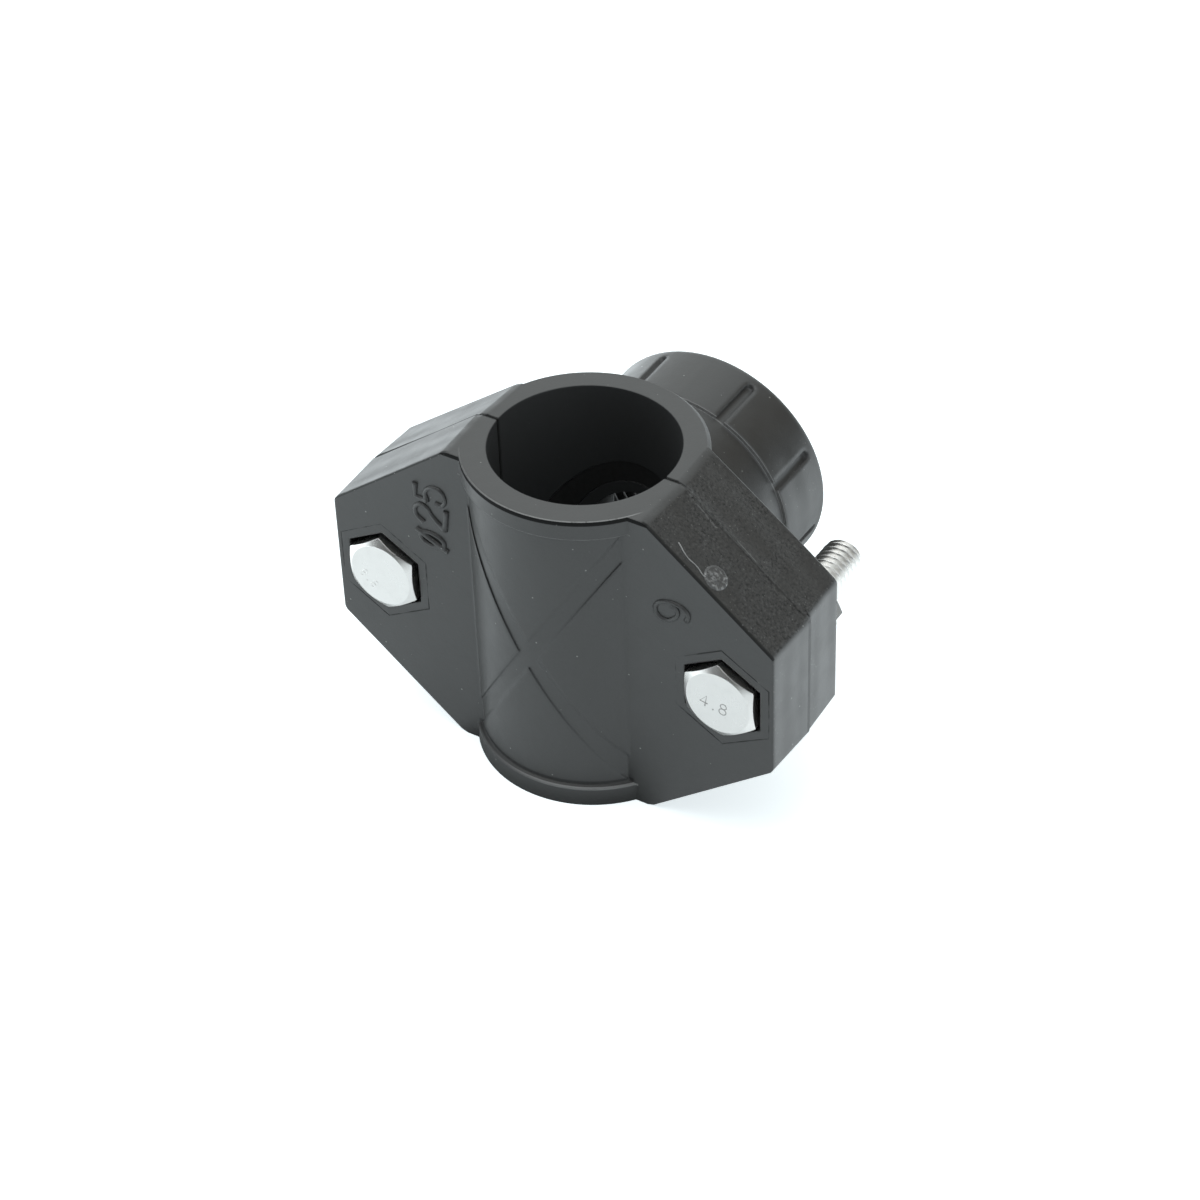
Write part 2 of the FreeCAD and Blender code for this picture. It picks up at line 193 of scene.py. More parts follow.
# %% [markdown]
# ## The room
# The photograph was taken in a white light tent: white below and almost all round, so the black plastic
# shows its form mainly by soft reflections of the white. Faces that mirror the same part of the tent have the
# same brightness, which tells where it is lighter or darker. It is brightest up behind the saddle's left
# side, darker up behind its right side, and dark where the photographer's opening is. A world whose
# brightness depends on direction alone gives this from every side. A brighter top gives rounded edges their
# fine light lines. What the camera sees past the floor is plain white.

# %% World
TENT = (0.89, 0.95, 0.97, 1)
# Each patch of the tent: its direction, its colour, and how wide its core and its soft edge are in degrees
PATCHES = (
    ((-0.45, 0.65, 0.60), (1.12, 1.18, 1.18, 1), 15, 50),
    ((0.58, 0.64, 0.50), (0.30, 0.28, 0.24, 1), 20, 36),
    ((0.00, -0.93, 0.36), (0.08, 0.08, 0.08, 1), 34, 52),
    ((-0.20, -0.15, 0.97), (1.70, 1.75, 1.75, 1), 12, 36),
    ((0.74, 0.64, 0.15), (0.05, 0.06, 0.07, 1), 8, 18),
)


def make_world():
    world = bpy.data.worlds.new("Tent")
    world.use_nodes = True
    world.node_tree.nodes.clear()
    wire = Wire(world.node_tree)
    direction = wire.node("ShaderNodeTexCoord", output="Generated")
    tent = TENT
    for toward, colour, core, edge in PATCHES:
        limits = [math.cos(math.radians(angle)) for angle in (edge, core)]
        patch = direction.dot(Vector(toward).normalized()).rise(*limits)
        tent = patch.blend(tent, colour)
    seen = wire.node("ShaderNodeLightPath", output="Is Camera Ray").blend(tent, grey(1))
    light = wire.node("ShaderNodeBackground", None, {"Color": seen, "Strength": 1.0})
    wire.node("ShaderNodeOutputWorld", None, {"Surface": light})
    bpy.context.scene.world = world


make_world()
print("The tent has", len(PATCHES), "lighter and darker patches")

# %% [markdown]
# The plastic mirrors much of the floor. What mirrors see of it is lifted: a little all round the foot of the
# barrel, and more to both sides and far to the left, because the photograph shows those parts brighter. The
# camera sees an even lift instead, which leaves only a faint shadow of the saddle.

# %% Floor
FLOOR_SIZE = 3.0
FLOOR_WHITE = (0.86, 0.90, 0.91, 1)
FLOOR_MIRRORED = (0.54, 0.57, 0.58, 1)
LIFT_WHITE = (0.93, 1.00, 1.03, 1)
CAMERA_LIFT = 0.70
ROUND_LIFT = 0.45
LEFT_LIFT = 0.75
RIGHT_LIFT = 0.92
FAR_LIFT = 0.92
# The floor's emission strength, because a share of colour can't be more than 1
LIFT_RANGE = 3.0
# Where the lifts start and where they are full: to each side, far to the left, from front to back, and
# round the bore's axis
SIDE_ZONE = (20 * MM, 42 * MM)
FAR_ZONE = (60 * MM, 100 * MM)
DEPTH_ZONE = (-38 * MM, 20 * MM)
ROUND_ZONE = (16.5 * MM, 21 * MM)


def make_floor():
    """A white floor, with a lift that keeps it white for the camera and brightens what mirrors it."""
    mesh = bpy.data.meshes.new("Floor")
    half = FLOOR_SIZE / 2
    corners = [(-half, -half, low.z), (half, -half, low.z), (half, half, low.z), (-half, half, low.z)]
    mesh.from_pydata(corners, [], [(0, 1, 2, 3)])
    floor = bpy.data.objects.new("Floor", mesh)
    bpy.context.scene.collection.objects.link(floor)
    material = bpy.data.materials.new("floor_white")
    material.use_nodes = True
    material.node_tree.nodes.clear()
    wire = Wire(material.node_tree)
    rays = [wire.node("ShaderNodeLightPath", output=name)
            for name in ("Is Camera Ray", "Is Glossy Ray", "Is Transmission Ray")]
    across, along = wire.node("ShaderNodeTexCoord", output="Object").parts()[:2]
    leftward = across * -1
    beside = (leftward.rise(*SIDE_ZONE) * LEFT_LIFT).most(across.rise(*SIDE_ZONE) * RIGHT_LIFT)
    beside = beside * along.rise(*DEPTH_ZONE) + leftward.rise(*FAR_ZONE) * FAR_LIFT
    around = (across * across + along * along).maths("SQRT").rise(*ROUND_ZONE) * ROUND_LIFT
    mirrored = rays[1].most(rays[2])
    lift = (rays[0] * CAMERA_LIFT).most(mirrored * (beside + around))
    shine = wire.node("ShaderNodeBsdfPrincipled", None, {
        "Base Color": mirrored.blend(FLOOR_WHITE, FLOOR_MIRRORED), "Roughness": 0.9,
        "Emission Color": (lift * (1 / LIFT_RANGE)).blend(grey(0), LIFT_WHITE),
        "Emission Strength": LIFT_RANGE})
    wire.node("ShaderNodeOutputMaterial", None, {"Surface": shine})
    mesh.materials.append(material)


make_floor()
print("The floor is %.0f m wide" % FLOOR_SIZE)

# %% [markdown]
# ## Black plastic
# Both half shells are injection moulded. Their flat fronts left a polished mould and are satin smooth, with
# a faint cloudiness. The mould's side walls were spark eroded: they left dust-like specks and soft folds on
# the ears' edges, and a fine pitted grain on the right slope. One function makes the material of both
# shells, because it tells the kinds of face apart by where they are and where they look.

# %% An empty material and its surface
def new_material(name):
    """An empty material, and the wire that its nodes start from."""
    material = bpy.data.materials.new(name)
    material.use_nodes = True
    material.node_tree.nodes.clear()
    return material, Wire(material.node_tree)


def finish_material(wire, dull=None, **sockets):
    """The surface, with a share of dull colour over it. Socket names have underscores for their spaces."""
    inputs = {name.replace("_", " "): entry for name, entry in sockets.items()}
    surface = wire.node("ShaderNodeBsdfPrincipled", None, inputs)
    if dull:
        matte = wire.node("ShaderNodeBsdfPrincipled", None, {
            "Base Color": dull[1], "Roughness": 1.0, "Specular IOR Level": 0.0})
        surface = wire.node("ShaderNodeMixShader", None, {0: dull[0], 1: surface, 2: matte})
    wire.node("ShaderNodeOutputMaterial", None, {"Surface": surface})


# %% Specks and painted shade at the parting line
# Where the halves part along Y, and the half width of the painted shade there and of its darkest core
PARTING = -1.0 * MM
SEAM_REACH = 0.40 * MM
SEAM_CORE = 0.18 * MM
# Where the ears' upper slopes start across the saddle
SLOPE_EDGE = 14.75 * MM


def specks(place, scale, share, size=0.12):
    """Tiny round spots, on a share of the cells of a grid with scale cells to the millimetre."""
    inputs = {"Vector": place, "Scale": scale / MM}
    distance = place.node("ShaderNodeTexVoronoi", None, inputs, "Distance")
    chance = place.node("ShaderNodeTexVoronoi", None, inputs, "Color").parts()[0]
    return distance.rise(size, size * 0.4) * (chance + share).rise(1, 1.01)


def parting_shade(along, across, facing, aside):
    """Painted shade where the halves meet: on the left slope, the upper end face and the right side."""
    rightward, _, upward = facing.parts()
    line = (along - PARTING).size().rise(SEAM_REACH, SEAM_CORE) * aside
    left_slope = across.rise(-SLOPE_EDGE + 0.25 * MM, -SLOPE_EDGE - 0.25 * MM)
    line = line * (left_slope * 0.8).most(upward.rise(0.93, 0.97) * 0.7)
    beside = along.band(PARTING - 0.35 * MM, 0.5 * MM, 0.15 * MM)
    return line.most(beside * rightward.rise(0.9, 0.97) * 0.28)


# %% [markdown]
# Real corners are never quite sharp. A Bevel node rounds the shading at an edge and leaves the mesh alone.
# A second, wider one works on the shallow cross, at the slopes' corners and on the outlet, where the
# photograph shows softer edges.

# %% Rounded edges
EDGE_RADIUS = 0.35 * MM
WIDE_RADIUS = 1.0 * MM
# The panel between the lips starts this high, and lies in front of the first pair along Y. The round outlet
# lies behind the second pair. From a number of each pair to the other the rounding gets wider.
PANEL_LOW = 4.3 * MM
PANEL_FRONT = (-10.25 * MM, -10.6 * MM)
OUTLET_START = (19.5 * MM, 20 * MM)
# The same for the ears' outer corners, across the saddle
OUTER_START = (31.2 * MM, 31.8 * MM)


def rounded(wire, place, aside):
    """The normals of rounded edges. aside is 1 on the faces that don't look along the outlet."""
    across, along, height = place.parts()
    half = MIDDLE.z - PANEL_LOW
    panel = (height - MIDDLE.z).size().rise(half, half - 0.3 * MM) * along.rise(*PANEL_FRONT)
    corner = across.size().band(SLOPE_EDGE, 1.2 * MM, 0.3 * MM)
    corner = corner.most(across.size().rise(*OUTER_START)) * aside
    wide_ones = panel.most(corner).most(along.rise(*OUTLET_START))
    sharp = wire.node("ShaderNodeBevel", {"samples": 6}, {"Radius": EDGE_RADIUS})
    wide = wire.node("ShaderNodeBevel", {"samples": 8}, {"Radius": WIDE_RADIUS})
    return wire.node("ShaderNodeMix", {"data_type": "VECTOR"}, {0: wide_ones, 4: sharp, 5: wide}, 1)


# %% Plastic
PLASTIC = (0.021, 0.021, 0.021, 1)
PLASTIC_WORN = (0.031, 0.031, 0.030, 1)
DUST = (0.30, 0.30, 0.29, 1)
PAINTED_LIT_BORE = (0.058, 0.060, 0.061, 1)
# Dull mark colours: painted shade with the real pits, and painted highlights with real scrapes and torn dots
SHADE_AND_PITS = grey(0.004)
HIGHLIGHT_AND_SCRAPES = grey(0.40)
EAR_START = 13.0 * MM
# The bore's wall, dull and lightened with painted light, lies inside these distances from the bore's axis
BORE_RIM = (12.60 * MM, 12.52 * MM)
# The way that the pitted slope faces
PITTED_FACING = (0.617, 0.0, 0.787)


def make_plastic(name, marks):
    """Plastic, with marks that darken it, lighten it or stand proud of it."""
    material, wire = new_material(name)
    place = wire.node("ShaderNodeTexCoord", output="Object")
    facing = wire.node("ShaderNodeTexCoord", output="Normal")
    across, along, _ = place.parts()
    reach = (across * across + along * along).maths("SQRT")
    aside = facing.parts()[1].size().rise(0.55, 0.35)
    eroded = aside * across.size().rise(EAR_START, EAR_START + 2.5 * MM)
    clouds = place.noise(0.35, 3.0)
    grain = place.noise(2.6, 3.0, 0.7)
    fine = place.noise(5.0, 2.0)
    drawn = wire.node("ShaderNodeMapping", None, {"Vector": place, "Scale": (0.25, 1, 0.15)})
    folds = drawn.noise(0.30, 0.0)
    patchy = place.noise(0.16).rise(0.35, 0.62) * 0.6 + 0.4
    pitted = eroded * facing.dot(PITTED_FACING).rise(0.93, 0.98) * patchy

    shade = (clouds - 0.5) * 0.8 + (grain - 0.5) * (0.3 + pitted * 2.0) + (fine - 0.5) * 0.5 + 0.4
    # Inside the bore the colour is paler: painted light in the shaded bore
    bore = reach.rise(*BORE_RIM)
    body = bore.blend(shade.blend(PLASTIC, PLASTIC_WORN), PAINTED_LIT_BORE)
    dust = specks(place, 0.75, 0.07).most(specks(place, 1.9, 0.02 + eroded * 0.25, 0.20) * 0.5)
    colour = (dust * 0.8).blend(body, DUST)
    rough = 0.33 + clouds * 0.14 + eroded * 0.06

    # The marks' dark is mostly painted shade, their light mostly painted highlights; pitted grain is real
    dark, light, proud = marks(place, facing)
    dark = dark.most(parting_shade(along, across, facing, aside)).most(grain.rise(0.54, 0.26) * pitted * 0.5)
    light = light.most(grain.rise(0.52, 0.82) * pitted * 0.20)
    dull = (light - dark).rise(0, 0.02).blend(bore.blend(SHADE_AND_PITS, PAINTED_LIT_BORE), HIGHLIGHT_AND_SCRAPES)

    lift = (fine - 0.5) * 0.014 * MM + (clouds - 0.5) * 0.045 * MM
    lift = lift + (grain - 0.5) * pitted * 0.08 * MM + (folds - 0.5) * eroded * 0.42 * MM
    bump = wire.node("ShaderNodeBump", None, {
        "Strength": 1.0, "Distance": 1.0, "Height": lift + proud, "Normal": rounded(wire, place, aside)})
    finish_material(wire, (dark.most(light).most(bore * 0.75), dull),
                    Base_Color=colour, Roughness=rough, IOR=1.75, Normal=bump)
    return material


# %% [markdown]
# ### What the mould left on the clamp half, and painted light on it
# Round each pocket runs a faint scribed hexagon, the outline of an insert in the mould, darkened with
# painted shade. Where the mould's parts met, thin ragged flash is left: a painted highlight on the rim
# of the upper end face with painted shade under it, and small torn dots along the ears' front edges, on
# painted shade. The lips have painted highlights on their fine edges and a painted soft shadow above the
# lower one, and two scrapes run along the parting on the right slope. None of it is more than a few
# hundredths of a millimetre high, so it is colour and bump, placed by distances in the part's own frame.

# %% Scribed hexagons
HEX_OFFSET = 6.75 * MM
HEX_LINE = 0.13 * MM
bolt_axes = {}
for side in ("left", "right"):
    corner, other = (Vector(point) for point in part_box("bolt_" + side))
    bolt_axes[side] = ((corner + other) / 2, corner.y, other.y)
    print("The %s screw runs from y = %.2f to %.2f mm" % (side, corner.y / MM, other.y / MM))
POCKET_X = (bolt_axes["right"][0].x - bolt_axes["left"][0].x) / 2
POCKET_Z = MIDDLE.z


def scribed_hexagons(place, facing):
    """A line round each pocket, at an even distance from the screw's axis across the flats."""
    across, _, height = place.parts()
    side = across.size() - POCKET_X
    rise = height - POCKET_Z
    reach = side.size()
    for angle in (60, 120):
        slant = side * math.cos(math.radians(angle)) + rise * math.sin(math.radians(angle))
        reach = reach.most(slant.size())
    front = facing.parts()[1].rise(-0.8, -0.95)
    return (reach - HEX_OFFSET).size().rise(HEX_LINE, HEX_LINE * 0.3) * front


# %% Rim and lips
LIP_RADIUS = 16.05 * MM
LIP_HEIGHT = 2.8 * MM


def rim_marks(place, facing, ragged):
    """The fin on the upper end face's rim, and painted shade and highlights round it and the two lips."""
    across, along, height = place.parts()
    reach = (across * across + along * along).maths("SQRT")
    front = along.rise(-8.0 * MM, -9.5 * MM)
    upper = height.rise(high.z - 0.05 * MM, high.z - 0.02 * MM)
    fin = reach.band(LIP_RADIUS - 0.12 * MM, 0.16 * MM, 0.06 * MM) * upper * front * ragged.rise(0.25, 0.45)
    ahead = facing.parts()[1].rise(-0.3, -0.5)
    # Painted shade under the fin
    under = height.band(high.z - 0.32 * MM, 0.44 * MM, 0.16 * MM) * ahead * reach.rise(15.6 * MM, 15.9 * MM)
    shaded = height.band(LIP_HEIGHT + 0.45 * MM, 0.5 * MM, 0.25 * MM) * front
    shaded = shaded * reach.rise(15.9 * MM, 15.7 * MM)
    # Painted highlights along the lips' edges, the lower one's growing towards the right
    upper_lip = height.band(high.z - LIP_HEIGHT, 0.10 * MM, 0.12 * MM) * ragged.rise(0.2, 0.6) * 0.25
    lower_lip = height.band(LIP_HEIGHT, 0.20 * MM, 0.15 * MM) * across.rise(-9 * MM, 6 * MM) * 0.5
    lips = upper_lip.most(lower_lip) * reach.band(LIP_RADIUS, 0.5 * MM, 0.1 * MM) * front
    # The fin's painted highlight, brighter towards the right
    bright = fin * (across.rise(-12 * MM, 3 * MM) * 0.4 + 0.15)
    return fin, (under * 0.85).most(shaded * 0.35), bright.most(lips)


# %% Slopes
# A point on the slope between an ear's top and its side, and the way that the slope faces
SLOPE_START = (SLOPE_EDGE, 23.8 * MM)
SLOPE_FACING = (0.617, 0.787)
# The scrapes: the slant against the parting, and then the middle, the width and the soft edge of the band
# along the outlet and of the one across the saddle
WIDE_SCRAPE = (0.142, (0.79 * MM, 0.16 * MM, 0.10 * MM), (18.4 * MM, 4.1 * MM, 0.4 * MM))
FINE_SCRAPE = (0.066, (0.48 * MM, 0.10 * MM, 0.07 * MM), (24.2 * MM, 2.6 * MM, 0.3 * MM))


def scrape(across, along, slant, thin, long):
    """A thin line on the right slope, nearly along the parting."""
    return (along + across * slant).band(*thin) * across.band(*long)


def slope_marks(place, ragged):
    """Painted shade on the slopes' front edges, the torn dots on them, and the scrapes on the right slope."""
    across, along, height = place.parts()
    slope = (across.size() - SLOPE_START[0]) * SLOPE_FACING[0]
    slope = slope + ((height - MIDDLE.z).size() - SLOPE_START[1]) * SLOPE_FACING[1]
    # edge: painted shade along the slopes' rounded front edges, a little stronger on the right
    edge = slope.band(-0.10 * MM, 0.16 * MM, 0.12 * MM) * along.rise(-9.6 * MM, -9.9 * MM)
    edge = edge * height.rise(MIDDLE.z, MIDDLE.z + 4 * MM)
    dots = edge * specks(place, 2.2, 0.25, 0.30)
    scraped = scrape(across, along, *WIDE_SCRAPE) * ragged.rise(0.42, 0.56)
    scraped = scraped.most(scrape(across, along, *FINE_SCRAPE)) * slope.size().rise(0.5 * MM, 0.4 * MM)
    edge = edge * (0.4 + across.rise(0, 5 * MM) * 0.25) * (1 - dots)
    return edge, dots, scraped


# %% Painted shade in the slashed circle
FRONT_FACE = -10.15 * MM
# Its middle in X and Z, and the factors that make a circle wider than it is high
SLASHED = (-17.53 * MM, 32.24 * MM)
SLASHED_SCALE = (0.72, 1.45)


def slashed_circle_shade(place):
    """Painted shade on the face inside the slashed circle, where little light gets in."""
    across, along, height = place.parts()
    wide, tall = (across - SLASHED[0]) * SLASHED_SCALE[0], (height - SLASHED[1]) * SLASHED_SCALE[1]
    inside = (wide * wide + tall * tall).maths("SQRT").rise(1.05 * MM, 0.95 * MM)
    return inside * along.rise(FRONT_FACE - 0.06 * MM, FRONT_FACE - 0.03 * MM)


# %% All marks of both halves
SHOULDER = 22.4 * MM


def clamp_marks(place, facing):
    """What is dark, what is light and what stands proud on the clamp half."""
    ragged = place.noise(1.3, 3.0, 0.7)
    hexagons = scribed_hexagons(place, facing) * place.noise(0.25, 3.0, 0.7).rise(0.35, 0.60)
    fin, rim_dark, rim_light = rim_marks(place, facing, ragged)
    edge, dots, scraped = slope_marks(place, ragged)
    # dark is all painted shade: in the hexagons' lines, under the fin, at the edges and in the slashed circle
    dark = (hexagons * 0.6).most(rim_dark).most(edge).most(slashed_circle_shade(place) * 0.6)
    # light is painted highlights on the fin and lips, with the real torn dots and scrapes
    light = rim_light.most(dots * 0.4).most(scraped * 0.2)
    proud = fin * 0.05 * MM + dots * 0.06 * MM - hexagons * 0.06 * MM
    return dark, light, proud


def branch_marks(place, facing):
    """A painted highlight along the step where the outlet's thicker part starts."""
    across, along, height = place.parts()
    ragged = place.noise(0.8, 3.0, 0.7)
    aside = (height - MIDDLE.z) * (height - MIDDLE.z) + across * across
    step = along.band(SHOULDER, 0.16 * MM, 0.08 * MM) * aside.maths("SQRT").rise(16.35 * MM, 16.5 * MM)
    light = step * (ragged.rise(0.2, 0.6) * 0.20 + 0.20)
    return light * 0, light, light * 0


plastic_clamp = make_plastic("clamp_plastic", clamp_marks)
plastic_branch = make_plastic("branch_plastic", branch_marks)
print("Made", plastic_clamp.name, "and", plastic_branch.name)

# %% [markdown]
# ## Rubber
# The seal ring only shows as an arc in the bore. Soft black rubber is duller than the plastic round it, with
# a cloudy, slightly lumpy surface.

# %% Rubber
def make_rubber():
    material, wire = new_material("seal_rubber")
    place = wire.node("ShaderNodeTexCoord", output="Object")
    clouds = place.noise(1.5, 2.0)
    shade = clouds.blend(grey(0.020), grey(0.036))
    bump = wire.node("ShaderNodeBump", None, {"Distance": 1.0, "Height": clouds * 0.03 * MM})
    finish_material(wire, Base_Color=shade, Roughness=0.5 + clouds * 0.2, IOR=1.5, Normal=bump)
    return material


rubber = make_rubber()
print("Made", rubber.name)

# %% [markdown]
# ## Zinc-plated steel
# The screws are bright zinc plated. The plating is smooth but not polished, so it blurs what it mirrors, and
# the pressing of the head leaves faint waves and scratches.

# %% Zinc plating
ZINC = (0.89, 0.88, 0.86, 1)
ZINC_DULL = (0.78, 0.77, 0.75, 1)
# A darker zinc for the right head's figures: painted shade along their strokes
SHADED_ZINC = (0.45, 0.44, 0.43, 1)
SHADED_ZINC_DULL = (0.30, 0.30, 0.29, 1)


def make_zinc(name, bright, dull):
    material, wire = new_material(name)
    place = wire.node("ShaderNodeTexCoord", output="Object")
    clouds = place.noise(0.5, 3.0)
    fine = place.noise(7.0, 3.0, 0.6)
    stretched = wire.node("ShaderNodeMapping", None, {"Vector": place, "Scale": (1, 1, 0.06)})
    scratches = stretched.noise(9.0, 1.0)
    colour = (clouds * 0.6 + (fine - 0.5) * 0.5).rise(0.3, 0.6).blend(bright, dull)
    rough = 0.24 + clouds * 0.10 + (fine - 0.5) * 0.08
    soft_edge = wire.node("ShaderNodeBevel", {"samples": 6}, {"Radius": 0.12 * MM})
    lift = (clouds - 0.5) * 0.03 * MM + (fine - 0.5) * 0.004 * MM + (scratches - 0.5) * 0.004 * MM
    bump = wire.node("ShaderNodeBump", None, {"Distance": 1.0, "Height": lift, "Normal": soft_edge})
    finish_material(wire, Base_Color=colour, Metallic=1.0, Roughness=rough, Normal=bump)
    return material


zinc = make_zinc("zinc_plating", ZINC, ZINC_DULL)
shaded_zinc = make_zinc("shaded_zinc", SHADED_ZINC, SHADED_ZINC_DULL)
print("Made", zinc.name, "and", shaded_zinc.name)

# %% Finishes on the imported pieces
for node, material in (("clamp_half", plastic_clamp), ("branch_half", plastic_branch), ("seal_ring", rubber)):
    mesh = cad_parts[node].data
    mesh.materials.clear()
    mesh.materials.append(material)
    print(node, "has", len(mesh.polygons), "faces")

# %% [markdown]
# ## Turned and rolled pieces
# Screws, nuts and the outlet's thread all grow round an axis that lies along the outlet. Each is one skin
# over rows of points: a row goes once round the axis, and every point has its own radius and level. That way
# a hexagon, a crown, a chamfer and a helical thread are all just different radii, and they join cleanly.

# %% A skin over rows of points
SEGMENTS = 96


def angles(count=SEGMENTS):
    """Angles round the outlet's direction, from straight up towards +X, which is right-handed about +Y."""
    return [2 * math.pi * step / count for step in range(count)]


def skin(name, centre, rows, closed, body, material):
    """A mesh over rows of (radius, level). It is a closed loop of rows, or its ends are closed by fans."""
    count = len(rows[0])
    turns = angles(count)
    points = []
    for row in rows:
        for turn, (radius, level) in zip(turns, row):
            points.append((centre.x + radius * math.sin(turn), level, centre.z + radius * math.cos(turn)))
    faces = []
    for row in range(len(rows) if closed else len(rows) - 1):
        here, after = row * count, (row + 1) % len(rows) * count
        for step in range(count):
            beside = (step + 1) % count
            faces.append((here + step, here + beside, after + beside, after + step))
    if not closed:
        for row in (0, len(rows) - 1):
            points.append((centre.x, rows[row][0][1], centre.z))
            for step in range(count):
                faces.append((len(points) - 1, row * count + step, row * count + (step + 1) % count))
    mesh = bpy.data.meshes.new(name)
    mesh.from_pydata(points, [], faces)
    return finish_piece(name, mesh, body, material)


def finish_piece(name, mesh, body, material, sharp=25):
    """Turn a mesh's faces outwards, smooth it and hang it on its body."""
    work = bmesh.new()
    work.from_mesh(mesh)
    bmesh.ops.recalc_face_normals(work, faces=work.faces)
    work.to_mesh(mesh)
    work.free()
    mesh.shade_smooth()
    mesh.set_sharp_from_angle(angle=math.radians(sharp))
    mesh.materials.append(material)
    piece = bpy.data.objects.new(name, mesh)
    bpy.context.scene.collection.objects.link(piece)
    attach(piece, body)
    print(name, "has", len(mesh.polygons), "faces")
    return piece


# %% [markdown]
# ### The M6 thread
# A coarse M6 thread climbs one millimetre a turn. Seen along the screw it is a row of 60 degree ridges with
# narrow flats on the crests and wider ones in the roots. One function gives the radius at any level and
# angle, and the nut uses it too, a little larger, so that screw and nut always mesh.

# %% Thread form
PITCH = 1.0 * MM
CREST = 2.96 * MM
ROOT = 2.40 * MM
# The flats of crest and root, as shares of the pitch
CREST_FLAT = 0.125
ROOT_FLAT = 0.25
ROWS_PER_TURN = 12


def ridge(phase, crest_flat, root_flat):
    """Height of a thread's ridge, from 0 at the root to 1 at the crest, once for each whole phase."""
    away = abs(phase - math.floor(phase) - 0.5) * 2
    return min(1, max(0, (1 - root_flat - away) / (1 - root_flat - crest_flat)))


def thread_radius(level, turn):
    phase = level / PITCH - turn / (2 * math.pi)
    return ROOT + (CREST - ROOT) * ridge(phase, CREST_FLAT, ROOT_FLAT)


def steps(start, stop, size):
    """Evenly spaced numbers from start to stop, about size apart, both ends among them."""
    count = max(1, round(abs(stop - start) / size))
    return [start + (stop - start) * step / count for step in range(count + 1)]


print("The thread is %.2f mm deep" % ((CREST - ROOT) / MM))

# %% Hexagon with a crown
FLATS = 10.0 * MM
CORNER_REACH = 5.73 * MM
CROWN = 4.6 * MM
CROWN_SLOPE = math.tan(math.radians(30))


def hexagon_radius(turn, first_corner):
    """Distance of a hexagon's outline from its middle, with the corners a little blunt."""
    off_corner = (turn - first_corner) % (math.pi / 3)
    return min(CORNER_REACH, FLATS / 2 / math.cos(off_corner - math.pi / 6))


def crown_rows(face, inward, first_corner):
    """The sloping rim from the round flat face to the hexagon's edge. inward is 1 or -1 along the outlet."""
    rows = []
    for share in (0, 0.5, 1):
        row = []
        for turn in angles():
            radius = CROWN + (hexagon_radius(turn, first_corner) - CROWN) * share
            row.append((radius, face + inward * (radius - CROWN) * CROWN_SLOPE))
        rows.append(row)
    return rows


# %% [markdown]
# ### The screws
# The screws are hexagon screws with a pressed head: a round flat face, a crown that slopes to blunt corners,
# and a short fillet under the head. Their thread is rolled and ends in a chamfered point. They stand in for
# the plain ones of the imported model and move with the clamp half, whose pockets hold their heads.

# %% Screws
HEAD_HEIGHT = 4.0 * MM
HEAD_TURN = math.radians(-3)
SHANK = 2.98 * MM
POINT = 2.3 * MM
EDGE = 0.12 * MM
FILLET = 0.3 * MM
PLAIN_NECK = 2 * MM


def ring(radius, level):
    """A round row."""
    return [(radius, level)] * SEGMENTS


def make_screw(side):
    centre, face, tip = bolt_axes[side]
    seat = face + HEAD_HEIGHT
    thread_start = seat + PLAIN_NECK
    outline = [hexagon_radius(turn, HEAD_TURN) for turn in angles()]
    rows = [ring(radius, face) for radius in (0.5 * MM, 2.5 * MM, CROWN - EDGE)]
    rows += crown_rows(face, 1, HEAD_TURN)
    rows.append([(radius, seat - EDGE) for radius in outline])
    rows.append([(radius - EDGE, seat) for radius in outline])
    rows += [ring(SHANK + FILLET, seat), ring(SHANK + 0.08 * MM, seat + 0.08 * MM)]
    rows.append(ring(SHANK, seat + FILLET))
    for level in steps(thread_start, tip, PITCH / ROWS_PER_TURN):
        fade = min(1, (level - thread_start) / PITCH)
        row = []
        for turn in angles():
            radius = SHANK + (thread_radius(level, turn) - SHANK) * fade
            row.append((min(radius, POINT + (tip - level)), level))
        rows.append(row)
    piece = skin("hex_screw_" + side, centre, rows, False, "clamp", zinc)
    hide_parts("bolt_" + side)


for side in ("left", "right"):
    make_screw(side)

# %% [markdown]
# ### The nuts
# Each nut is a hexagon with a crown on both faces and a thread that fits the screw's. Its skin closes on
# itself: out over one face, across the flats, in over the other face and back along the threaded hole.

# %% Nuts
NUT_TURN = math.radians(84)
THREAD_PLAY = 0.05 * MM
COUNTERSINK = 3.2 * MM


def make_nut(side):
    corner, other = (Vector(point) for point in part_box("nut_" + side))
    centre = (corner + other) / 2
    rows = [ring(COUNTERSINK, corner.y), ring(CROWN - EDGE, corner.y)] + crown_rows(corner.y, 1, NUT_TURN)
    rows += reversed(crown_rows(other.y, -1, NUT_TURN))
    rows += [ring(CROWN - EDGE, other.y), ring(COUNTERSINK, other.y)]
    for level in steps(other.y, corner.y, PITCH / ROWS_PER_TURN)[1:-1]:
        cone = COUNTERSINK - min(level - corner.y, other.y - level)
        rows.append([(max(thread_radius(level, turn) + THREAD_PLAY, cone), level) for turn in angles()])
    piece = skin("hex_nut_" + side, centre, rows, True, side + "_nut", zinc)
    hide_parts("nut_" + side)


for side in ("left", "right"):
    make_nut(side)

# %% [markdown]
# ### The outlet's thread
# The outlet takes a male 3/4 inch pipe thread, 14 turns to the inch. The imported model's wall stands at the
# root of this thread, so only the ridge is missing. It is moulded, with rounded crests, and fades out at the
# mouth so that a pipe starts easily. Its outer skin lies inside the wall, which hides it.

# %% Outlet thread
OUTLET_PITCH = 25.4 * MM / 14
OUTLET_ROOT = 13.22 * MM
OUTLET_DEPTH = 1.16 * MM
